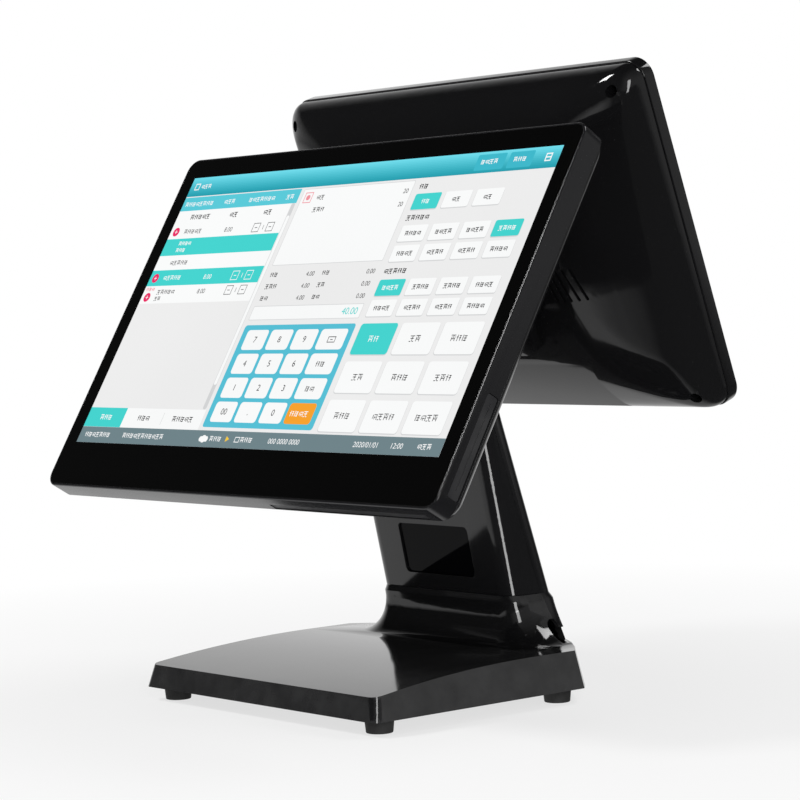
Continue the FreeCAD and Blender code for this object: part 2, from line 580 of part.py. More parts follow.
def head_hinge(head):
    """The steel bracket on the display's back and the moulded cover over it, around the hinge shaft."""
    deep = -head.spec["deep"]
    y = head.axis_y
    z = head.axis_z
    bracket = pad(-48, 48, y - 27, y + 27, deep - 2.5, deep, 4.0)
    for x in (-LUG_INNER_X - LUG_THICKNESS, LUG_INNER_X):
        outline = [(y - 20, deep - 2.0), (y + 20, deep - 2.0), (y + 8.0, z), (y - 8.0, z)]
        lug = slab_along_x(outline, x, x + LUG_THICKNESS)
        lug = lug.fuse(rod(9.0, LUG_THICKNESS, (x, y, z), SIDEWAYS))
        bracket = bracket.fuse(lug)
    bracket = bracket.cut(rod(SHAFT_RADIUS + SHAFT_FIT, 90, (-45, y, z), SIDEWAYS))
    screws = []
    for x in (-41.0, 41.0):
        for dy in (-20.0, 20.0):
            screws.append(pan_screw((x, y + dy, deep - 2.5), (0, 0, 1), 2.0, 9.0, 3.8, 2.0))
            bracket = bracket.cut(rod(2.05, 5, (x, y + dy, deep - 4)))
    near = z + BARREL_RADIUS + 2.5

    def cover_block(wall, foot):
        wide = BARREL_HALF_WIDTH - wall
        radius = BARREL_RADIUS - wall
        edge = deep - 6.0 + wall
        skirt = pad(-54 + wall, 54 - wall, y - 32 + wall, y + 32 - wall, edge, foot, max(2.0, 9 - wall))
        wide_end = rounded_wire(-54 + wall, 54 - wall, y - 32 + wall, y + 32 - wall, edge, 9 - wall)
        narrow_end = rounded_wire(-wide, wide, y - 19 + wall, y + 19 - wall, near + wall, 6 - wall)
        slope = Part.makeLoft([wide_end, narrow_end], True, True)
        inset = 19 - wall
        outline = [(y - inset, near + wall), (y + inset, near + wall), (y + radius, z), (y - radius, z)]
        barrel = rod(radius, 2 * wide, (-wide, y, z), SIDEWAYS)
        return skirt.fuse(slope).fuse(slab_along_x(outline, -wide, wide)).fuse(barrel).removeSplitter()

    cover = cover_block(0, deep).cut(cover_block(2.2, deep + 1))
    cover = cover.cut(rod(SHAFT_RADIUS + 0.3, 90, (-45, y, z), SIDEWAYS))
    inner = deep + SHELL_WALL * 0.75 + 0.2
    mount = pad(-48, 48, y - 27, y + 27, inner, inner + 2.0, 4.0)
    for screw_x in (-41.0, 41.0):
        for dy in (-20.0, 20.0):
            mount = mount.fuse(rod(4.0, -10.5 - inner, (screw_x, y + dy, inner)))
            mount = mount.cut(rod(2.05, 7.5, (screw_x, y + dy, inner - 0.5)))
    head.save("hinge_mount", mount)
    head.save("hinge_bracket", bracket)
    head.save("bracket_screws", group(screws))
    head.save("hinge_cover", cover)
    return [(x, y + dy) for x in (-41.0, 41.0) for dy in (-20.0, 20.0)]


# ---------------------------------------------------------------- what only the cashier's display has

def trim_pockets(head):
    """Shallow pockets in the frame's right wall and bottom wall, and the covers that lie in them."""
    length = READER_COVER_Y[1] - READER_COVER_Y[0]
    width = READER_COVER_DEPTH[0] - READER_COVER_DEPTH[1]
    y = sum(READER_COVER_Y) / 2
    z = -sum(READER_COVER_DEPTH) / 2
    wall = head.half
    pocket = side_pad(wall - TRIM_POCKET, wall + 1, y, z, length, width, 1.6)
    cover = side_pad(wall - TRIM_POCKET, wall - TRIM_RECESS, y, z, length - 0.4, width - 0.4, 1.4)
    slot = side_pad(wall - 0.8, wall, y, z, length - 10, 1.2, 0.5)
    head.save("card_reader_cover", cover.cut(slot))
    floor = head.bottom
    x0, x1 = PORT_COVER_X
    z0, z1 = -PORT_COVER_DEPTH[0], -PORT_COVER_DEPTH[1]
    strip = block(x0 + 0.2, x1 - 0.2, floor + TRIM_RECESS, floor + TRIM_POCKET, z0 + 0.2, z1 - 0.2)
    head.save("bottom_port_cover", strip)
    return pocket, block(x0, x1, floor - 1, floor + TRIM_POCKET, z0, z1)


def power_button(head):
    """A push button in the left wall, with its spring and switch. Returns its slot and chassis notch."""
    wall = -head.half
    z = -BUTTON_DEPTH
    fit = 2 * BUTTON_FIT
    corner = BUTTON_WIDTH / 2 - 0.02
    slot_corner = corner + BUTTON_FIT
    slot = side_pad(wall - 2, wall + 4, BUTTON_Y, z, BUTTON_LENGTH + fit, BUTTON_WIDTH + fit, slot_corner)
    cap = side_pad(wall - BUTTON_PROUD, wall + 3.0, BUTTON_Y, z, BUTTON_LENGTH, BUTTON_WIDTH, corner)
    face = [edge for edge in cap.Edges if abs(edge.BoundBox.XMax - wall + BUTTON_PROUD) < 0.01]
    cap = cap.makeFillet(0.3, face)
    flange = side_pad(wall + 3.0, wall + 4.0, BUTTON_Y, z, BUTTON_LENGTH + 2, BUTTON_WIDTH + 1.2, 2.0)
    stem = rod(1.3, 4.0, (wall + 4.0, BUTTON_Y, z), SIDEWAYS)
    head.save("power_button", cap.fuse(flange).fuse(stem))
    coil_radius = 1.9
    wire = Part.Wire(Part.Circle(V(coil_radius, 0, 0), V(0, 1, 0.1), 0.22).toShape())
    spring = Part.Wire(Part.makeHelix(1.15, 3.45, coil_radius)).makePipeShell([wire], True, True)
    spring.Placement = FreeCAD.Placement(V(wall + 5.3, BUTTON_Y, z), FreeCAD.Rotation(UP, SIDEWAYS))
    head.save("button_spring", spring)
    board = block(wall + 10.0, wall + 11.2, BUTTON_Y - 9, BUTTON_Y + 9, -13.6, -8.0)
    switch = block(wall + 9.0, wall + 10.0, BUTTON_Y - 2.6, BUTTON_Y + 2.6, z - 2.4, z + 2.4)
    head.save("power_switch_board", board.fuse(switch))
    return slot, block(wall, wall + 14, BUTTON_Y - 12, BUTTON_Y + 12, -12, -8)


def computer(head):
    """The computer inside the cashier's display. Returns the connector openings in the bay's roof."""
    board_back = -15.2
    board = pad(-70, 90, -86, -6, board_back, board_back + 1.6, 2.0)
    for x, y in ((-66, -82), (86, -82), (-66, -10), (86, -10)):
        board = board.cut(rod(1.6, 3, (x, y, board_back - 0.5)))
        board = board.fuse(ring(3.0, 1.6, 2.6, (x, y, board_back + 1.6)))
    head.save("mainboard", board)
    chips = [block(-8, 22, -52, -22, board_back - 1.8, board_back)]
    chips.append(block(60, 74, -40, -26, board_back - 1.4, board_back))
    chips += [rod(4.0, 9.0, (x, -18, board_back - 9.0)) for x in (58, 68, 78)]
    chips += [block(x, x + 7, -70, -63, board_back - 4.0, board_back) for x in (62, 72)]
    head.save("board_chips", group(chips))
    sink = block(-24, 40, -60, -12, board_back - 5.0, board_back - 1.9)
    for step in range(11):
        x = -24 + step * 6.25
        sink = sink.fuse(block(x, x + 1.5, -60, -12, board_back - 17.0, board_back - 5.0))
    head.save("cpu_heatsink", sink)
    memory = block(-68, -32, -64, -16, board_back - 4.4, board_back - 3.2)
    for step in range(4):
        x = -66 + step * 8.5
        memory = memory.fuse(block(x, x + 6.5, -50, -30, board_back - 5.4, board_back - 4.4))
    socket = block(-69, -31, -66, -62, board_back - 3.2, board_back)
    head.save("memory_module", memory.fuse(socket))
    head.save("storage_drive", pad(98, 166, -82, 18, -20.0, -13.0, 3.0))
    controller = block(-160, -112, -24, 8, -13.4, -12.0).fuse(block(-145, -133, -14, -2, -14.8, -13.4))
    head.save("touch_controller_board", controller)
    speakers = []
    for side in (-1, 1):
        case = pad(side * 132 - 20, side * 132 + 20, -113, -98, -22, -13, 3.0)
        cone = Part.makeCone(6.0, 3.0, 3.0, V(side * 132, -105.5, -22.0))
        speakers.append(case.cut(cone))
    head.save("speakers", group(speakers))
    sizes = ((-56, 9, 11), (-38, 14, 7), (-18, 14, 7), (4, 16, 13), (28, 15, 6), (50, 17, 11))
    connectors = []
    openings = []
    for x, wide, high in sizes:
        top = -BAY_FLOOR_DEPTH - 1.4
        shell = block(x - wide / 2, x + wide / 2, BAY_ROOF_Y - 1.0, -78, top - high, top)
        half = wide / 2
        mouth = block(x - half + 0.8, x + half - 0.8, BAY_ROOF_Y - 2.0, -84, top - high + 0.8, top - 0.8)
        lug = block(x - half + 1, x + half - 1, -84, -78, top, board_back)
        connectors.append(shell.cut(mouth).fuse(lug))
        gap = (x - half - 0.2, x + half + 0.2, BAY_ROOF_Y - 2, -86, top - high - 0.2, top + 0.2)
        openings.append(block(*gap))
    head.save("io_connectors", group(connectors))
    return openings


def connector_bay():
    """The bay that the leads plug into: its outer cut and the solid left around it."""
    outside = block(-BAY_HALF_WIDTH, BAY_HALF_WIDTH, -140, BAY_ROOF_Y, -60, -BAY_FLOOR_DEPTH)
    wall = SHELL_WALL
    half = BAY_HALF_WIDTH + wall
    lining = block(-half, half, -140, BAY_ROOF_Y + wall, -60, -BAY_FLOOR_DEPTH + wall)
    return outside, lining


# ---------------------------------------------------------------- what only the customer's display has

def lower_facet(grow):
    """The flat facet under the middle of the domed cover: everything outside its plane."""
    crease = (-64.0, -48.0)
    slope = 31.0 / 42.5
    half = 87.0 + grow
    y0 = crease[0] + grow
    z_low = crease[1] + (crease[0] + 140) * slope + grow
    return slab_along_x([(y0, crease[1] + grow), (y0, -80), (-140, -80), (-140, z_low)], -half, half)


def speaker_slots():
    """Five slanting slots on each side of the customer's cover."""
    slots = []
    for side in (-1, 1):
        for step in range(5):
            slot = pad(-1.0, 1.0, -11.0, 11.0, -60, -40, 0.95)
            place = V(side * (76.0 + 5.6 * step), -16, 0)
            slot.Placement = FreeCAD.Placement(place, FreeCAD.Rotation(UP, side * 20))
            slots.append(slot)
    return slots


def customer_electronics(head):
    board = block(-62, 62, 16, 56, -15.0, -13.4)
    chips = ((-40, 24, 14, 14, 2), (0, 26, 18, 18, 2), (34, 22, 8, 20, 6), (46, 22, 8, 20, 6))
    for x, y, wide, tall, high in chips:
        board = board.fuse(block(x, x + wide, y, y + tall, -15.0 - high, -15.0))
    head.save("driver_board", board)
    speakers = []
    for side in (-1, 1):
        case = pad(side * 87 - 15, side * 87 + 15, -31, -1, -42.0, -33.0, 4.0)
        speakers.append(case.cut(Part.makeCone(11.0, 6.0, 4.0, V(side * 87, -16, -42.0))))
    head.save("speakers", group(speakers))


def build_display(name, axis_y, axis_z):
    head = Head(name, axis_y, axis_z)
    frame = front_frame(head)
    notch = None
    if name == "main":
        slot, notch = power_button(head)
        for cut in trim_pockets(head) + (slot,):
            frame = frame.cut(cut)
    head.save("front_frame", frame)
    screen_pieces(head)
    inset = 15.0 if name == "main" else 13.0
    rows = (head.top - inset, head.bottom + inset - 2.0)
    places = [(side * (head.half - inset), y) for side in (-1, 1) for y in rows]
    seat = chassis(head, places, notch)
    deep = -head.spec["deep"]
    cut_outs = [rod(2.3, 12, (x, y, deep - 2)) for x, y in head_hinge(head)]
    if name == "main":
        outside, lining = connector_bay()
        rear_cover(head, places, seat, cut_outs + [outside] + computer(head), [lining])
    else:
        customer_electronics(head)
        cut_outs += [lower_facet(0)] + speaker_slots()
        rear_cover(head, places, seat, cut_outs, [lower_facet(SHELL_WALL)])


base_pieces()
neck_pieces()
neck_cap()
hinge_hardware("main", MAIN_AXIS_Y, MAIN_AXIS_Z)
hinge_hardware("customer", CUSTOMER_AXIS_Y, CUSTOMER_AXIS_Z)
build_display("main", MAIN_AXIS_Y, MAIN_AXIS_Z)
build_display("customer", CUSTOMER_AXIS_Y, CUSTOMER_AXIS_Z)
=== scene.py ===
"""The finished looks of a two-screen checkout terminal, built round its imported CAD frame.

Every shell is a cleaned and edge-rounded copy of its CAD node. The cashier's picture is drawn as thin tiles
on the glass, and each material is made of nodes. Lengths are in metres, in the frame's own axes.
"""
import bmesh
import bpy
import json
import math
from mathutils import Matrix, Vector

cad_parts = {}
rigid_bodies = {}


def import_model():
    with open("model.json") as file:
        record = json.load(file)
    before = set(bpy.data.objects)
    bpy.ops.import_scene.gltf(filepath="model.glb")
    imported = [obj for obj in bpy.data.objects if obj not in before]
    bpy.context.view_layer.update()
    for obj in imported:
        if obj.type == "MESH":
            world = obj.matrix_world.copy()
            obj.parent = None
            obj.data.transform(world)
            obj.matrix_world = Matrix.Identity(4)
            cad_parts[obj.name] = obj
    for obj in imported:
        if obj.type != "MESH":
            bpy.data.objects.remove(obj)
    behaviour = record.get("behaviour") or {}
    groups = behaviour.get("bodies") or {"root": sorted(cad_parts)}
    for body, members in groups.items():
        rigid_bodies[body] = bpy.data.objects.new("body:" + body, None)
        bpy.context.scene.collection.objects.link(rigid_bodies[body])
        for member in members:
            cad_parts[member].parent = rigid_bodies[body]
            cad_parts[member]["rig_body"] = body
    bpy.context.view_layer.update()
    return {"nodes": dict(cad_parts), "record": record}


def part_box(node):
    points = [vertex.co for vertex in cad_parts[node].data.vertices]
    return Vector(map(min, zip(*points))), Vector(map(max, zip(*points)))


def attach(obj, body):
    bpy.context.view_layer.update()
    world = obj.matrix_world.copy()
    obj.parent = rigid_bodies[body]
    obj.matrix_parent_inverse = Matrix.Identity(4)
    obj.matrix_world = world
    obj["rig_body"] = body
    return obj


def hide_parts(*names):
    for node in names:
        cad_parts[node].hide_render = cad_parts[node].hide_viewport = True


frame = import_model()
NODES = frame["nodes"]
MM = 0.001

# The camera stands where it sees the cashier's screen from the right and the customer's screen from behind.
CAMERA_PLACE = Vector((1.1935, -1.0216, 0.2434))
CAMERA_AZIMUTH = math.radians(49.36)
CAMERA_ELEVATION = math.radians(2.32)
CAMERA_ROLL = math.radians(1.70)
CAMERA_LENS = 116.05

# The studio: the direction of its bright wall, and its softboxes as place, width, height and power
BRIGHT_WALL = (-0.87, 0.49, 0.0)
SOFTBOXES = {
    "beside_camera": ((1.45, -0.95, 0.5), 0.45, 0.9, 10),
    "right_low": ((0.99, -0.66, -0.22), 0.3, 0.7, 6),
    "overhead_front": ((-0.55, -0.99, 1.39), 0.4, 0.4, 14),
    "overhead_rear": ((0.5, 1.3, 1.7), 1.2, 0.6, 16),
}
SOFTBOX_AIM = (0, 0, 0.2)
FLOOR_RADIUS = 6.0
FLOOR_GAP = 0.5 * MM

# The screens: sizes of the glass plates and of the lit picture
GLASS_THICKNESS = 2.2 * MM
MAIN_PICTURE = (344.2, 193.6)
MAIN_BORDER_BELOW = 29.25 * MM
CUSTOMER_PICTURE = (293.8, 165.2)
CUSTOMER_BORDER_BELOW = 24.35 * MM
FIRST_LEVEL = 0.02 * MM
LEVEL_STEP = 0.014 * MM

# Cleaning the copies of the CAD meshes
MERGE_DISTANCE = 2e-6
FLAT_ANGLE = math.radians(0.15)
SHARP_ANGLE = 24.0
ROUNDED_FROM = 6.0             # edges this much sharper than SHARP_ANGLE are rounded


# ---------------------------------------------------------------- node helpers

def new_tree(name):
    material = bpy.data.materials.new(name)
    material.use_nodes = True
    tree = material.node_tree
    tree.nodes.clear()
    shader = tree.nodes.new("ShaderNodeBsdfPrincipled")
    output = tree.nodes.new("ShaderNodeOutputMaterial")
    tree.links.new(shader.outputs["BSDF"], output.inputs["Surface"])
    return material, tree, shader


def new_group(name, inputs, outputs):
    """A shader node group with named inputs, given as (name, socket type, default), and outputs."""
    tree = bpy.data.node_groups.new(name, "ShaderNodeTree")
    for label, kind, value in inputs:
        socket = tree.interface.new_socket(label, in_out="INPUT", socket_type=kind)
        socket.default_value = value
    for label, kind in outputs:
        tree.interface.new_socket(label, in_out="OUTPUT", socket_type=kind)
    return tree, tree.nodes.new("NodeGroupInput"), tree.nodes.new("NodeGroupOutput")


def noise(tree, vector, scale, detail=3.0, roughness=0.55):
    node = tree.nodes.new("ShaderNodeTexNoise")
    node.inputs["Scale"].default_value = scale
    node.inputs["Detail"].default_value = detail
    node.inputs["Roughness"].default_value = roughness
    tree.links.new(vector, node.inputs["Vector"])
    return node.outputs["Fac"]


def spread(tree, value, low, high, to_low, to_high):
    """Map value from low..high onto to_low..to_high, and no further."""
    node = tree.nodes.new("ShaderNodeMapRange")
    for label, number in (("From Min", low), ("From Max", high), ("To Min", to_low), ("To Max", to_high)):
        node.inputs[label].default_value = number
    tree.links.new(value, node.inputs["Value"])
    return node.outputs["Result"]


def link_or_set(tree, socket, value):
    if isinstance(value, bpy.types.NodeSocket):
        tree.links.new(value, socket)
    else:
        socket.default_value = value


def arithmetic(tree, operation, a, b):
    node = tree.nodes.new("ShaderNodeMath")
    node.operation = operation
    link_or_set(tree, node.inputs[0], a)
    link_or_set(tree, node.inputs[1], b)
    return node.outputs["Value"]


def blend_colour(tree, share, a, b):
    node = tree.nodes.new("ShaderNodeMix")
    node.data_type = "RGBA"
    link_or_set(tree, node.inputs["Factor"], share)
    link_or_set(tree, node.inputs["A"], a)
    link_or_set(tree, node.inputs["B"], b)
    return node.outputs["Result"]


def stretched(tree, vector, scale):
    node = tree.nodes.new("ShaderNodeMapping")
    node.inputs["Scale"].default_value = scale
    tree.links.new(vector, node.inputs["Vector"])
    return node.outputs["Vector"]


def object_place(tree):
    return tree.nodes.new("ShaderNodeTexCoord").outputs["Object"]


def bump(tree, height, strength, distance):
    node = tree.nodes.new("ShaderNodeBump")
    node.inputs["Strength"].default_value = strength
    node.inputs["Distance"].default_value = distance
    tree.links.new(height, node.inputs["Height"])
    return node.outputs["Normal"]


# ---------------------------------------------------------------- shared effects

def make_handling_group():
    """Handled plastic: faint cloudy smears, dust specks and lighter worn edges."""
    tree, given, result = new_group(
        "handled_surface",
        [("Colour", "NodeSocketColor", (0.01, 0.01, 0.01, 1)), ("Dust", "NodeSocketFloat", 0.3),
         ("Wear", "NodeSocketFloat", 0.3), ("Low roughness", "NodeSocketFloat", 0.06),
         ("High roughness", "NodeSocketFloat", 0.12)],
        [("Colour", "NodeSocketColor"), ("Roughness", "NodeSocketFloat"), ("Height", "NodeSocketFloat")])
    place = object_place(tree)
    smear = noise(tree, stretched(tree, place, (7, 9, 5)), 1.6, 5.0, 0.6)
    specks = spread(tree, noise(tree, place, 1400.0, 1.0, 0.4), 0.75, 0.8, 0.0, 1.0)
    dust = arithmetic(tree, "MULTIPLY", specks, given.outputs["Dust"])
    pointed = tree.nodes.new("ShaderNodeNewGeometry").outputs["Pointiness"]
    edge = spread(tree, pointed, 0.53, 0.62, 0.0, 1.0)
    worn = arithmetic(tree, "MULTIPLY", edge, noise(tree, place, 60.0, 4.0))
    worn = arithmetic(tree, "MULTIPLY", worn, given.outputs["Wear"])
    dusty = blend_colour(tree, dust, given.outputs["Colour"], (0.1, 0.1, 0.1, 1))
    tree.links.new(blend_colour(tree, worn, dusty, (0.12, 0.12, 0.12, 1)), result.inputs["Colour"])
    room = tree.nodes.new("ShaderNodeMix")
    tree.links.new(spread(tree, smear, 0.35, 0.7, 0.0, 1.0), room.inputs["Factor"])
    tree.links.new(given.outputs["Low roughness"], room.inputs["A"])
    tree.links.new(given.outputs["High roughness"], room.inputs["B"])
    tree.links.new(arithmetic(tree, "ADD", room.outputs["Result"], arithmetic(tree, "MULTIPLY", dust, 0.5)),
                   result.inputs["Roughness"])
    tree.links.new(noise(tree, place, 45.0, 2.0), result.inputs["Height"])
    return tree


def make_grain_group():
    """Fine spark-eroded grain of matt plastic and rubber."""
    tree, given, result = new_group(
        "mould_grain",
        [("Colour", "NodeSocketColor", (0.03, 0.03, 0.03, 1)), ("Grain size", "NodeSocketFloat", 1500.0)],
        [("Colour", "NodeSocketColor"), ("Height", "NodeSocketFloat")])
    place = object_place(tree)
    cells = tree.nodes.new("ShaderNodeTexVoronoi")
    tree.links.new(place, cells.inputs["Vector"])
    tree.links.new(given.outputs["Grain size"], cells.inputs["Scale"])
    cloud = noise(tree, place, 35.0, 4.0)
    share = spread(tree, cloud, 0.35, 0.7, 0.0, 0.35)
    tree.links.new(blend_colour(tree, share, given.outputs["Colour"], (0.075, 0.075, 0.075, 1)),
                   result.inputs["Colour"])
    tree.links.new(cells.outputs["Distance"], result.inputs["Height"])
    return tree


def make_metal_group():
    """Drawn or plated metal: long fine lines and cloudy patches."""
    tree, given, result = new_group(
        "worked_metal",
        [("Colour", "NodeSocketColor", (0.55, 0.55, 0.55, 1)),
         ("Patch colour", "NodeSocketColor", (0.4, 0.4, 0.4, 1)), ("Roughness", "NodeSocketFloat", 0.3)],
        [("Colour", "NodeSocketColor"), ("Roughness", "NodeSocketFloat"), ("Height", "NodeSocketFloat")])
    place = object_place(tree)
    lines = noise(tree, stretched(tree, place, (40, 900, 900)), 1.0, 3.0)
    patches = noise(tree, place, 55.0, 5.0, 0.65)
    tree.links.new(blend_colour(tree, spread(tree, patches, 0.35, 0.65, 0.0, 1.0), given.outputs["Colour"],
                                given.outputs["Patch colour"]), result.inputs["Colour"])
    rough = arithmetic(tree, "ADD", given.outputs["Roughness"], spread(tree, lines, 0.3, 0.7, -0.07, 0.12))
    tree.links.new(rough, result.inputs["Roughness"])
    tree.links.new(lines, result.inputs["Height"])
    return tree


HANDLED = make_handling_group()
GRAIN = make_grain_group()
METAL = make_metal_group()


def use_group(tree, group, values):
    node = tree.nodes.new("ShaderNodeGroup")
    node.node_tree = group
    for label, value in values.items():
        node.inputs[label].default_value = value
    return node


# ---------------------------------------------------------------- finishes

def gloss_plastic(name, colour, low=0.05, high=0.11, dust=0.25, wear=0.25, peel=0.03, specular=0.5):
    material, tree, shader = new_tree(name)
    surface = use_group(tree, HANDLED, {"Colour": (*colour, 1), "Dust": dust, "Wear": wear,
                                        "Low roughness": low, "High roughness": high})
    tree.links.new(surface.outputs["Colour"], shader.inputs["Base Color"])
    tree.links.new(surface.outputs["Roughness"], shader.inputs["Roughness"])
    tree.links.new(bump(tree, surface.outputs["Height"], peel, 0.0004), shader.inputs["Normal"])
    shader.inputs["IOR"].default_value = 1.5
    shader.inputs["Specular IOR Level"].default_value = specular
    return material


def matt_plastic(name, colour, roughness=0.45, grain=1500.0, depth=0.15):
    material, tree, shader = new_tree(name)
    surface = use_group(tree, GRAIN, {"Colour": (*colour, 1), "Grain size": grain})
    tree.links.new(surface.outputs["Colour"], shader.inputs["Base Color"])
    shader.inputs["Roughness"].default_value = roughness
    tree.links.new(bump(tree, surface.outputs["Height"], depth, 0.0003), shader.inputs["Normal"])
    return material


def metal(name, colour, patch, roughness, depth=0.08):
    material, tree, shader = new_tree(name)
    surface = use_group(tree, METAL, {"Colour": (*colour, 1), "Patch colour": (*patch, 1),
                                      "Roughness": roughness})
    tree.links.new(surface.outputs["Colour"], shader.inputs["Base Color"])
    tree.links.new(surface.outputs["Roughness"], shader.inputs["Roughness"])
    tree.links.new(bump(tree, surface.outputs["Height"], depth, 0.0002), shader.inputs["Normal"])
    shader.inputs["Metallic"].default_value = 1.0
    return material


def circuit_board(name):
    """Green solder mask over copper tracks, which show as slightly lighter and raised lines."""
    material, tree, shader = new_tree(name)
    place = object_place(tree)
    tracks = tree.nodes.new("ShaderNodeTexBrick")
    tracks.inputs["Scale"].default_value = 190.0
    tracks.inputs["Mortar Size"].default_value = 0.09
    tree.links.new(place, tracks.inputs["Vector"])
    colour = blend_colour(tree, tracks.outputs["Fac"], (0.008, 0.07, 0.03, 1), (0.02, 0.15, 0.06, 1))
    tree.links.new(colour, shader.inputs["Base Color"])
    tree.links.new(bump(tree, tracks.outputs["Fac"], 0.2, 0.0002), shader.inputs["Normal"])
    shader.inputs["Roughness"].default_value = 0.3
    return material


def make_backlight_group():
    """The even glow of a backlight, a little weaker in clouds, with the fine dot screen of a panel."""
    tree, given, result = new_group(
        "backlight", [("Colour", "NodeSocketColor", (1, 1, 1, 1))], [("Colour", "NodeSocketColor")])
    place = object_place(tree)
    cloud = spread(tree, noise(tree, place, 6.0, 2.0), 0.3, 0.7, 0.965, 1.0)
    dots = spread(tree, noise(tree, place, 2600.0, 0.0), 0.3, 0.7, 0.975, 1.0)
    scale = tree.nodes.new("ShaderNodeVectorMath")
    scale.operation = "SCALE"
    tree.links.new(given.outputs["Colour"], scale.inputs[0])
    tree.links.new(arithmetic(tree, "MULTIPLY", cloud, dots), scale.inputs["Scale"])
    tree.links.new(scale.outputs["Vector"], result.inputs["Colour"])
    return tree


BACKLIGHT = make_backlight_group()


def linear(colour):
    """Turn display values of 0 to 255 into the linear values that a shader takes."""
    shares = [value / 255 for value in colour]
    return tuple(s / 12.92 if s <= 0.04045 else ((s + 0.055) / 1.055) ** 2.4 for s in shares)


def lit(name, colour):
    material, tree, shader = new_tree(name)
    glow = use_group(tree, BACKLIGHT, {"Colour": (*linear(colour), 1)})
    tree.links.new(glow.outputs["Colour"], shader.inputs["Emission Color"])
    shader.inputs["Emission Strength"].default_value = 1.0
    shader.inputs["Base Color"].default_value = (0.004, 0.004, 0.004, 1)
    shader.inputs["Roughness"].default_value = 0.12
    shader.inputs["Specular IOR Level"].default_value = 0.25
    return material


FINISHES = {
    "gloss_black_plastic": gloss_plastic("piano_black", (0.006, 0.006, 0.0065)),
    "window_plastic": gloss_plastic("tinted_window", (0.002, 0.002, 0.0025), 0.02, 0.05, 0.1, 0.0, 0.01,
                                    specular=0.06),
    "trim_plastic": matt_plastic("satin_trim", (0.018, 0.018, 0.02), 0.33),
    "screen_glass": gloss_plastic("black_backed_glass", (0.001, 0.001, 0.001), 0.02, 0.035, 0.04, 0.0, 0.0),
    "lcd_module": metal("panel_tray", (0.4, 0.41, 0.42), (0.3, 0.31, 0.32), 0.35),
    "zinc_steel": metal("zinc_plate", (0.55, 0.57, 0.58), (0.42, 0.44, 0.47), 0.32),
    "painted_steel": matt_plastic("black_powder_coat", (0.02, 0.02, 0.02), 0.5, 900.0, 0.35),
    "turned_steel": metal("turned_steel", (0.6, 0.6, 0.6), (0.5, 0.5, 0.52), 0.22),
    "black_screws": metal("black_oxide", (0.03, 0.03, 0.032), (0.05, 0.048, 0.045), 0.38),
    "friction_disc": metal("bronze_disc", (0.62, 0.44, 0.2), (0.5, 0.36, 0.17), 0.3),
    "foot_rubber": matt_plastic("foot_rubber", (0.012, 0.012, 0.012), 0.75, 700.0, 0.4),
    "circuit_board": circuit_board("solder_mask"),
    "chip_plastic": matt_plastic("moulded_epoxy", (0.02, 0.02, 0.02), 0.55),
    "connector_metal": metal("nickel_plate", (0.65, 0.64, 0.6), (0.55, 0.54, 0.5), 0.25),
    "aluminium": metal("extruded_aluminium", (0.68, 0.69, 0.7), (0.6, 0.61, 0.63), 0.3),
}
SATIN_FRAME = gloss_plastic("satin_black_frame", (0.008, 0.008, 0.009), 0.13, 0.2, 0.3, 0.4, 0.05)
SLOT_OF = {row["node"]: row["material_slot"] for row in frame["record"]["subparts"]}


def dress_cad_nodes():
    for name, thing in NODES.items():
        thing.data.materials.clear()
        thing.data.materials.append(FINISHES[SLOT_OF[name]])


# ---------------------------------------------------------------- shells

def finished(node, rounding, material=None):
    """A merged copy of a CAD shell with smooth curved faces and rounded edges, which stands for its node."""
    bm = bmesh.new()
    bm.from_mesh(NODES[node].data)
    bmesh.ops.remove_doubles(bm, verts=bm.verts, dist=MERGE_DISTANCE)
    bmesh.ops.dissolve_limit(bm, angle_limit=FLAT_ANGLE, verts=bm.verts, edges=bm.edges)
    bmesh.ops.recalc_face_normals(bm, faces=bm.faces)
    for face in bm.faces:
        face.smooth = True
    for edge in bm.edges:
        edge.smooth = len(edge.link_faces) == 2 and edge.calc_face_angle() < math.radians(SHARP_ANGLE)
    mesh = bpy.data.meshes.new(node + "_shell")
    bm.to_mesh(mesh)
    bm.free()
    piece = bpy.data.objects.new(node + "_shell", mesh)
    bpy.context.scene.collection.objects.link(piece)
    mesh.materials.append(material or FINISHES[SLOT_OF[node]])
    edge_round = piece.modifiers.new("rounded_edges", "BEVEL")
    edge_round.width = rounding
    edge_round.segments = 3
    edge_round.limit_method = "ANGLE"
    edge_round.angle_limit = math.radians(SHARP_ANGLE + ROUNDED_FROM)
    edge_round.harden_normals = True
    edge_round.use_clamp_overlap = True
    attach(piece, NODES[node]["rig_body"])
    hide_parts(node)
    return piece


SHELLS = {
    "base_cover": 0.7 * MM,
    "neck_front_shell": 0.5 * MM,
    "neck_rear_cover": 0.5 * MM,
    "neck_window": 0.3 * MM,
    "neck_cap": 0.5 * MM,
    "main_hinge_cover": 0.6 * MM,
    "customer_hinge_cover": 0.6 * MM,
    "main_front_frame": 0.35 * MM,
    "customer_front_frame": 0.25 * MM,
    "main_rear_cover": 0.7 * MM,
    "customer_rear_cover": 0.6 * MM,
    "main_touch_glass": 0.3 * MM,
    "customer_cover_glass": 0.3 * MM,
    "card_reader_cover": 0.12 * MM,
    "bottom_port_cover": 0.12 * MM,
    "power_button": 0.15 * MM,
    "rubber_feet": 0.5 * MM,
}


# ---------------------------------------------------------------- the cashier's picture

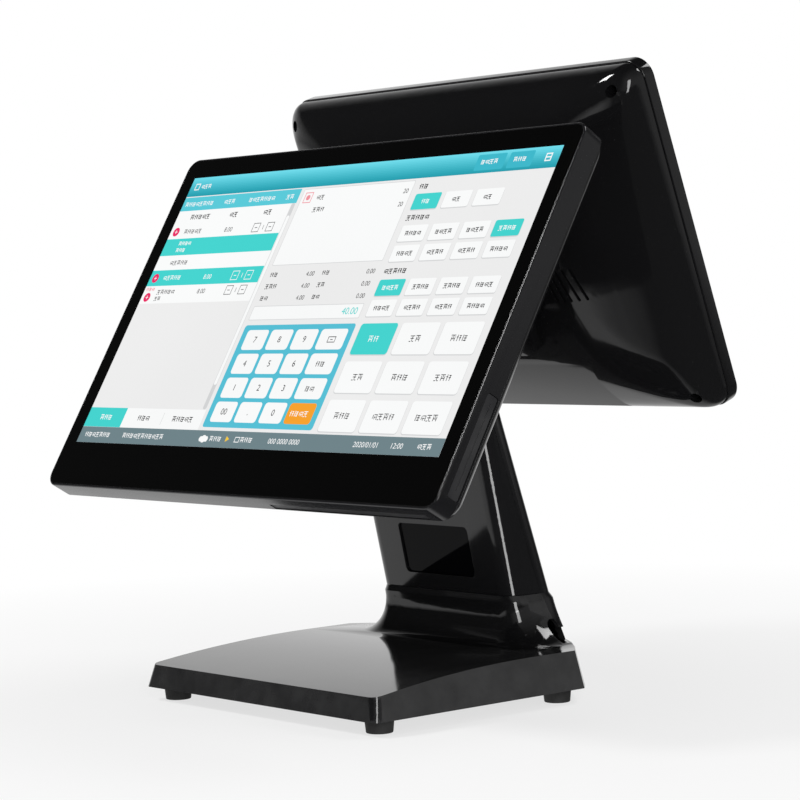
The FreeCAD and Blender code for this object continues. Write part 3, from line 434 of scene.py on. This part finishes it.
def screen_axes(node, faces_back, border_below):
    """A screen's directions right, up and out, and the middle of its picture's lower edge on the glass."""
    low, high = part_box(node)
    deep = high.y - low.y
    tall = high.z - low.z
    lean = math.atan2(deep, tall)
    for _ in range(8):
        lean = math.atan2(deep - GLASS_THICKNESS * math.cos(lean), tall - GLASS_THICKNESS * math.sin(lean))
    side = -1 if faces_back else 1
    right = Vector((side, 0, 0))
    up = Vector((0, side * math.sin(lean), math.cos(lean)))
    out = right.cross(up)
    foot = Vector((0, high.y if faces_back else low.y, low.z + GLASS_THICKNESS * math.sin(lean)))
    return right, up, out, foot + up * border_below


# Made-up signs. Each stroke is a thin bar, given as its left end, upper end, run and drop in shares of the
# sign's height.
SIGNS = (
    ((0.0, 0.05, 0.9, 0), (0.12, 0.42, 0.7, 0), (0.45, 0.05, 0, 0.85),
     (0.0, 0.88, 0.35, 0), (0.6, 0.88, 0.3, 0)),
    ((0.08, 0.0, 0, 0.95), (0.3, 0.12, 0.6, 0), (0.3, 0.45, 0.6, 0),
     (0.6, 0.12, 0, 0.85), (0.3, 0.8, 0.55, 0)),
    ((0.0, 0.0, 0.9, 0), (0.15, 0.25, 0, 0.7), (0.75, 0.25, 0, 0.7),
     (0.15, 0.55, 0.6, 0), (0.45, 0.0, 0, 0.5)),
    ((0.1, 0.2, 0, 0.6), (0.32, 0.15, 0.6, 0), (0.85, 0.15, 0, 0.8),
     (0.32, 0.5, 0.45, 0), (0.42, 0.5, 0, 0.4)),
    ((0.0, 0.28, 0.35, 0), (0.16, 0.0, 0, 0.95), (0.5, 0.08, 0.42, 0),
     (0.5, 0.42, 0.42, 0), (0.7, 0.08, 0, 0.85)),
)


class Picture:
    """Thin tiles on a screen's glass. Places are in millimetres from the picture's top left corner."""

    def __init__(self, name, node, faces_back, border_below, size):
        self.name = name
        self.node = node
        self.size = size
        self.right, self.up, self.out, self.foot = screen_axes(node, faces_back, border_below)
        self.bm = bmesh.new()
        self.materials = []

    def at(self, x, y, level):
        across = (x - self.size[0] / 2) * MM
        high = (self.size[1] - y) * MM
        lift = FIRST_LEVEL + LEVEL_STEP * level
        return self.foot + self.right * across + self.up * high + self.out * lift

    def slot_of(self, material):
        if material not in self.materials:
            self.materials.append(material)
        return self.materials.index(material)

    def tile(self, x, y, wide, tall, material, level=1, radius=0.0):
        """A flat tile, whose corners are round if it has a radius."""
        corners = [(x, y + tall), (x + wide, y + tall), (x + wide, y), (x, y)]
        verts = [self.bm.verts.new(self.at(cx, cy, level)) for cx, cy in corners]
        face = self.bm.faces.new(verts)
        face.material_index = self.slot_of(material)
        if radius:
            bmesh.ops.bevel(self.bm, geom=verts, offset=radius * MM, offset_type="OFFSET", segments=4,
                            profile=0.5, affect="VERTICES", material=-1, clamp_overlap=True)

    def disc(self, x, y, radius, material, level=2, sides=20):
        turns = [2 * math.pi * k / sides for k in range(sides)]
        rim = [self.at(x + radius * math.cos(turn), y - radius * math.sin(turn), level) for turn in turns]
        verts = [self.bm.verts.new(place) for place in rim]
        self.bm.faces.new(verts).material_index = self.slot_of(material)

    def outline(self, x, y, wide, tall, line, material, level=3):
        """An open box drawn with four lines."""
        self.tile(x, y, wide, line, material, level)
        self.tile(x, y + tall - line, wide, line, material, level)
        self.tile(x, y, line, tall, material, level)
        self.tile(x + wide - line, y, line, tall, material, level)

    def words(self, x, y, wide, material, tall=3.2, level=4, weight=0.5):
        """A row of made-up signs of a few strokes each, which stands for a line of words."""
        pitch = tall * 1.12
        count = max(1, round(wide / pitch))
        for index in range(count):
            strokes = SIGNS[(index * 2 + int(x * 3) + int(y * 5)) % len(SIGNS)]
            for across, down, run, drop in strokes:
                self.tile(x + index * pitch + across * tall, y + down * tall,
                          max(weight, run * tall), max(weight, drop * tall), material, level)

    def digits(self, text, x, y, tall, material, level=4):
        """Plain digits, centred on x, with their foot on y."""
        curve = bpy.data.curves.new("digits", "FONT")
        curve.body = text
        curve.size = tall * 1.4
        curve.align_x = "CENTER"
        holder = bpy.data.objects.new("digits", curve)
        flat = bpy.data.meshes.new_from_object(holder)
        turned = Matrix((self.right, self.up, self.out)).transposed().to_4x4()
        flat.transform(Matrix.Translation(self.at(x, y, level)) @ turned @ Matrix.Scale(MM, 4))
        for face in flat.polygons:
            face.material_index = self.slot_of(material)
        self.bm.from_mesh(flat)
        bpy.data.objects.remove(holder)
        bpy.data.curves.remove(curve)
        bpy.data.meshes.remove(flat)

    def finish(self):
        mesh = bpy.data.meshes.new(self.name)
        self.bm.to_mesh(mesh)
        self.bm.free()
        for material in self.materials:
            mesh.materials.append(material)
        piece = bpy.data.objects.new(self.name, mesh)
        bpy.context.scene.collection.objects.link(piece)
        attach(piece, NODES[self.node]["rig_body"])
        return piece


INK = {
    "white": lit("lit_white", (252, 253, 253)),
    "paper": lit("lit_paper_grey", (240, 240, 240)),
    "shade": lit("lit_shade_grey", (214, 215, 216)),
    "black": lit("lit_black", (26, 26, 28)),
    "grey_ink": lit("lit_grey_ink", (84, 84, 86)),
    "teal": lit("lit_teal", (68, 214, 209)),
    "head_blue": lit("lit_head_blue", (90, 204, 219)),
    "key_blue": lit("lit_key_blue", (86, 194, 216)),
    "button_blue": lit("lit_button_blue", (62, 186, 205)),
    "orange": lit("lit_orange", (250, 164, 44)),
    "pink": lit("lit_pink", (236, 42, 104)),
    "pale_pink": lit("lit_pale_pink", (243, 150, 160)),
    "yellow": lit("lit_yellow", (250, 205, 60)),
    "status": lit("lit_status_grey", (112, 133, 139)),
}


def header_bar(picture, wide):
    """The top bar fades from light to deep blue in thin strips."""
    strips = 12
    tall = 14.3 / strips
    for index in range(strips):
        share = index / (strips - 1)
        colour = [a + (b - a) * share for a, b in zip((112, 222, 238), (34, 160, 177))]
        picture.tile(0, index * tall, wide, tall, lit("lit_header_%02d" % index, colour), 1)
    picture.outline(5, 4.5, 5.0, 5.0, 0.7, INK["white"])
    picture.words(12, 5.5, 10, INK["white"])
    for x, size in ((276, 24), (303, 20)):
        picture.tile(x, 1.8, size, 10.6, INK["button_blue"], 2, 1.0)
        picture.words(x + 4, 5.2, size - 8, INK["white"])
    picture.outline(333, 4.4, 5.0, 5.4, 0.8, INK["white"])
    picture.tile(333, 6.7, 5.0, 0.8, INK["white"], 3)


def order_list(picture):
    """The left column: a list of sold articles, some picked out, and three tabs below it."""
    wide = 117.0
    picture.tile(0, 14.3, 121.5, 168.2, INK["paper"], 1)
    picture.tile(0, 15.0, 121.5, 10.2, INK["head_blue"], 2)
    for x, size in ((3, 29), (45, 12), (71, 27), (109, 8)):
        picture.words(x, 18.6, size, INK["white"], 3.4)
    rows = ((25.2, 10.8, "white"), (36.0, 10.2, "white"), (46.2, 12.5, "teal"), (58.7, 10.8, "white"),
            (69.5, 11.6, "teal"), (81.1, 12.9, "white"))
    for y, tall, ink in rows:
        picture.tile(0, y, wide, tall, INK[ink], 2)
    for x, size in ((15, 20), (57, 10), (92, 9)):
        picture.words(x, 28.4, size, INK["black"], 3.8, weight=0.6)
    for y, ink in ((39.4, "grey_ink"), (73.6, "white"), (84.0, "grey_ink")):
        picture.words(15, y, 20, INK[ink], 3.4)
        picture.digits("8.00", 62.5, y + 3.6, 3.4, INK[ink])
        for x in (87.5, 101.5):
            picture.outline(x, y - 1.4, 7.0, 6.6, 0.45, INK[ink])
            picture.tile(x + 2.2, y + 1.7, 2.6, 0.5, INK[ink], 4)
        picture.digits("1", 98.2, y + 3.6, 3.4, INK[ink])
    for y in (40.9, 75.3, 89.3):
        picture.disc(6.2, y, 3.3, INK["pink"], 3)
        picture.tile(4.9, y - 0.25, 2.6, 0.5, INK["white"], 4)
        picture.tile(5.95, y - 1.3, 0.5, 2.6, INK["white"], 4)
    picture.words(15, 48.4, 13, INK["white"], 3.0)
    picture.words(15, 53.4, 10, INK["white"], 3.0)
    picture.words(15, 62.6, 18, INK["grey_ink"], 3.4)
    picture.words(1.5, 82.0, 9, INK["pale_pink"], 2.8)
    picture.words(15, 89.0, 8, INK["grey_ink"], 3.0)
    picture.tile(117.4, 25.2, 3.6, 143.5, INK["shade"], 2, 1.6)
    picture.tile(117.8, 34.0, 2.8, 118.0, INK["white"], 3, 1.3)
    for x, size, ink, text, ink_text in ((0, 40, "teal", 11, "white"), (40, 41, "white", 11, "black"),
                                         (81, 40.5, "white", 20, "black")):
        picture.tile(x, 169.0, size, 13.5, INK[ink], 2)
        picture.words(x + (size - text) / 2, 173.8, text, INK[ink_text], 3.8, weight=0.55)
    picture.tile(80.8, 171.5, 0.4, 8.5, INK["shade"], 3)


def bill(picture):
    """The middle column's sheet, its totals and the amount."""
    picture.tile(124.6, 15.6, 104.0, 54.2, INK["shade"], 2, 1.0)
    picture.tile(125.0, 16.0, 103.2, 53.4, INK["white"], 3, 0.8)
    picture.outline(127.6, 18.2, 7.6, 7.6, 0.6, INK["pale_pink"], 4)
    picture.disc(131.4, 22.0, 1.9, INK["pale_pink"], 4)
    picture.words(140, 20.6, 9, INK["black"], 3.4)
    picture.words(141, 29.4, 12, INK["black"], 3.4)
    for y in (24.0, 33.0):
        picture.digits("20", 223.2, y, 3.2, INK["black"])
    for index, y in enumerate((74.6, 82.8, 91.0)):
        picture.words(127, y, 9 + 4 * (index == 1), INK["black"], 3.4)
        picture.digits("4.00", 166.0, y + 3.4, 3.2, INK["black"])
        picture.words(177, y, 8, INK["black"], 3.2)
        picture.digits("0.00", 222.0, y + 3.4, 3.2, INK["black"])
    picture.tile(124.6, 98.0, 104.0, 9.8, INK["shade"], 2, 0.8)
    picture.tile(125.0, 98.4, 103.2, 9.0, INK["white"], 3, 0.7)
    picture.digits("40.00", 218.0, 105.0, 4.6, INK["teal"])


def keypad(picture):
    picture.tile(124.6, 111.2, 104.4, 69.2, INK["key_blue"], 2, 2.0)
    labels = ("7", "8", "9", None, "4", "5", "6", None, "1", "2", "3", None, "00", ".", "0", None)
    columns = ((129.4, 20.8), (153.0, 20.8), (176.6, 20.8), (200.2, 24.2))
    for index, label in enumerate(labels):
        x, wide = columns[index % 4]
        y = 114.6 + 16.2 * (index // 4)
        last = index == len(labels) - 1
        picture.tile(x, y, wide, 13.6, INK["orange" if last else "white"], 3, 2.2)
        if label:
            picture.digits(label, x + wide / 2, y + 8.6, 4.2, INK["black"])
        elif index == 3:
            picture.outline(x + 8.6, y + 5.0, 7.0, 4.0, 0.5, INK["black"], 4)
            picture.tile(x + 11.0, y + 6.8, 2.2, 0.5, INK["black"], 4)
        else:
            size = 19 if last else 10
            ink = INK["white" if last else "black"]
            picture.words(x + (wide - size) / 2, y + 5.0, size, ink, 3.8, weight=0.5)


def button(picture, x, y, wide, tall, picked, text, radius=1.2, size=3.2):
    """One soft key with a faint shadow under it."""
    picture.tile(x - 0.25, y + 0.1, wide + 0.5, tall + 0.6, INK["shade"], 2, radius + 0.3)
    picture.tile(x, y, wide, tall, INK["teal" if picked else "white"], 3, radius)
    ink = INK["white" if picked else "black"]
    picture.words(x + (wide - text) / 2, y + (tall - size) / 2, text, ink, size, weight=0.5)


def choices(picture):
    """The right column: rows of small keys under short titles, and nine large keys."""
    columns = [234.0 + 26.5 * k for k in range(4)]
    for y, size in ((18.4, 10), (39.6, 19), (75.2, 19)):
        picture.words(234, y, size, INK["black"], 3.6, weight=0.6)
    for index in range(3):
        button(picture, columns[index], 25.2, 22.8, 10.8, index == 0, 8)
    for top, picked in ((46.6, 3), (82.6, 0)):
        for index in range(8):
            button(picture, columns[index % 4], top + 13.4 * (index // 4), 22.8, 10.8, index == picked, 14)
    texts = (10, 10, 14, 10, 14, 14, 14, 19, 19)
    for index, text in enumerate(texts):
        x = 234.0 + 36.0 * (index % 3)
        y = 111.4 + 24.6 * (index // 3)
        button(picture, x, y, 32.4, 20.2, index == 0, text, 2.0, 4.2)


def status_bar(picture, wide, tall):
    top = 182.6
    picture.tile(0, top, wide, tall - top, INK["status"], 2)
    y = top + 3.6
    for x, size in ((6, 26), (47, 42), (137, 12), (167, 12), (324, 13)):
        picture.words(x, y, size, INK["white"], 3.5)
    for x, radius in ((128.4, 1.7), (131.0, 2.5), (133.6, 1.8)):
        picture.disc(x, y + 2.0, radius, INK["white"], 3)
    picture.tile(127.4, y + 2.0, 7.6, 1.8, INK["white"], 3, 0.6)
    picture.disc(154.0, y + 1.6, 2.2, INK["yellow"], 3, 3)
    picture.outline(161.6, y, 4.6, 3.6, 0.5, INK["white"])
    picture.digits("000 0000 0000", 208.0, y + 3.5, 3.4, INK["white"])
    picture.digits("2020/01/01", 281.0, y + 3.5, 3.4, INK["white"])
    picture.digits("12:00", 307.0, y + 3.5, 3.4, INK["white"])


def cashier_picture():
    wide, tall = MAIN_PICTURE
    picture = Picture("main_screen_picture", "main_touch_glass", False, MAIN_BORDER_BELOW, MAIN_PICTURE)
    picture.tile(0, 0, wide, tall, INK["paper"], 0)
    header_bar(picture, wide)
    order_list(picture)
    bill(picture)
    keypad(picture)
    choices(picture)
    status_bar(picture, wide, tall)
    return picture.finish()


def customer_picture():
    """The customer's screen is off: only the edge of its grey-black panel shows under the glass."""
    dark = gloss_plastic("dark_panel", (0.012, 0.0125, 0.015), 0.09, 0.13, 0.05, 0.0, 0.0)
    picture = Picture("customer_screen_area", "customer_cover_glass", True, CUSTOMER_BORDER_BELOW,
                      CUSTOMER_PICTURE)
    picture.tile(0, 0, *CUSTOMER_PICTURE, dark, 0)
    return picture.finish()


# ---------------------------------------------------------------- room

def camera():
    data = bpy.data.cameras.new("camera")
    data.lens = CAMERA_LENS
    data.sensor_width = 36.0
    data.clip_start = 0.05
    data.clip_end = 50.0
    holder = bpy.data.objects.new("camera", data)
    level = math.cos(CAMERA_ELEVATION)
    back = Vector((math.sin(CAMERA_AZIMUTH) * level, -math.cos(CAMERA_AZIMUTH) * level,
                   math.sin(CAMERA_ELEVATION)))
    right = Vector((0, 0, 1)).cross(back).normalized()
    down = right.cross(back)
    turned_right = right * math.cos(CAMERA_ROLL) + down * math.sin(CAMERA_ROLL)
    turned_down = down * math.cos(CAMERA_ROLL) - right * math.sin(CAMERA_ROLL)
    turn = Matrix((turned_right, -turned_down, back)).transposed()
    holder.matrix_world = Matrix.Translation(CAMERA_PLACE) @ turn.to_4x4()
    bpy.context.scene.collection.objects.link(holder)
    bpy.context.scene.camera = holder


def softbox(name, place, target, wide, tall, power):
    data = bpy.data.lights.new(name, "AREA")
    data.shape = "RECTANGLE"
    data.size = wide
    data.size_y = tall
    data.energy = power
    holder = bpy.data.objects.new(name, data)
    holder.location = place
    holder.rotation_mode = "QUATERNION"
    holder.rotation_quaternion = (Vector(target) - Vector(place)).to_track_quat("-Z", "Y")
    bpy.context.scene.collection.objects.link(holder)
    holder.visible_camera = False
    return holder


def studio():
    """The room and its softboxes.

    The camera sees the room white. The room's light and reflections come from a bright wall on the far left,
    a glow low on the left and a dim wall on the right.
    """
    world = bpy.data.worlds.new("studio")
    bpy.context.scene.world = world
    world.use_nodes = True
    tree = world.node_tree
    tree.nodes.clear()
    output = tree.nodes.new("ShaderNodeOutputWorld")
    seen = tree.nodes.new("ShaderNodeBackground")
    seen.inputs["Color"].default_value = (1, 1, 1, 1)
    room = tree.nodes.new("ShaderNodeBackground")
    room.inputs["Strength"].default_value = 1.0
    direction = tree.nodes.new("ShaderNodeTexCoord").outputs["Generated"]
    split = tree.nodes.new("ShaderNodeSeparateXYZ")
    tree.links.new(direction, split.inputs["Vector"])
    lit_wall = tree.nodes.new("ShaderNodeVectorMath")
    lit_wall.operation = "DOT_PRODUCT"
    lit_wall.inputs[1].default_value = BRIGHT_WALL
    tree.links.new(direction, lit_wall.inputs[0])
    right_wall = spread(tree, split.outputs["X"], 0.2, 0.6, 0.0, 0.3)
    wall = arithmetic(tree, "ADD", spread(tree, lit_wall.outputs["Value"], 0.62, 0.95, 0.04, 1.0), right_wall)
    above = spread(tree, split.outputs["Z"], -0.1, 0.01, 0.0, 1.0)
    fading = spread(tree, split.outputs["Z"], 0.3, 0.9, 1.0, 0.3)
    level = arithmetic(tree, "MULTIPLY", arithmetic(tree, "MULTIPLY", wall, above), fading)
    ground = spread(tree, split.outputs["Z"], -0.12, -0.04, 0.8, 0.0)
    ground = arithmetic(tree, "MULTIPLY", ground, spread(tree, split.outputs["X"], -0.25, 0.0, 1.0, 0.08))
    level = arithmetic(tree, "ADD", level, ground)
    tree.links.new(level, room.inputs["Color"])
    rays = tree.nodes.new("ShaderNodeLightPath")
    mix = tree.nodes.new("ShaderNodeMixShader")
    tree.links.new(rays.outputs["Is Camera Ray"], mix.inputs["Fac"])
    tree.links.new(room.outputs["Background"], mix.inputs[1])
    tree.links.new(seen.outputs["Background"], mix.inputs[2])
    tree.links.new(mix.outputs["Shader"], output.inputs["Surface"])
    stand_shells = bpy.data.collections.new("stand_shells")
    for node in ("base_cover", "neck_front_shell", "neck_rear_cover"):
        stand_shells.objects.link(bpy.data.objects[node + "_shell"])
    for name, (place, wide, tall, power) in SOFTBOXES.items():
        box = softbox(name, place, SOFTBOX_AIM, wide, tall, power)
        if name == "right_low":    # this one reaches only the stand's shells
            box.light_linking.receiver_collection = stand_shells


def floor():
    """A pale, partly self-lit floor that turns into the white of the room.

    Reflections leave it out, and it casts no shadow.
    """
    bm = bmesh.new()
    bmesh.ops.create_circle(bm, cap_ends=True, segments=96, radius=FLOOR_RADIUS)
    mesh = bpy.data.meshes.new("floor")
    bm.to_mesh(mesh)
    bm.free()
    ground = bpy.data.objects.new("floor", mesh)
    ground.location.z = -FLOOR_GAP
    bpy.context.scene.collection.objects.link(ground)
    material = bpy.data.materials.new("pale_floor")
    material.use_nodes = True
    tree = material.node_tree
    tree.nodes.clear()
    output = tree.nodes.new("ShaderNodeOutputMaterial")
    matt = tree.nodes.new("ShaderNodeBsdfDiffuse")
    matt.inputs["Color"].default_value = (0.9, 0.9, 0.9, 1)
    bright = tree.nodes.new("ShaderNodeEmission")
    reach = tree.nodes.new("ShaderNodeVectorMath")
    reach.operation = "LENGTH"
    tree.links.new(object_place(tree), reach.inputs[0])
    mix = tree.nodes.new("ShaderNodeMixShader")
    tree.links.new(spread(tree, reach.outputs["Value"], 0.15, 0.75, 0.7, 1.0), mix.inputs["Fac"])
    tree.links.new(matt.outputs["BSDF"], mix.inputs[1])
    tree.links.new(bright.outputs["Emission"], mix.inputs[2])
    tree.links.new(mix.outputs["Shader"], output.inputs["Surface"])
    mesh.materials.append(material)
    ground.visible_glossy = False
    ground.visible_shadow = False


dress_cad_nodes()
for node, rounding in SHELLS.items():
    finished(node, rounding, SATIN_FRAME if node == "main_front_frame" else None)
cashier_picture()
customer_picture()
camera()
studio()
floor()
bpy.context.scene.view_settings.view_transform = "Standard"
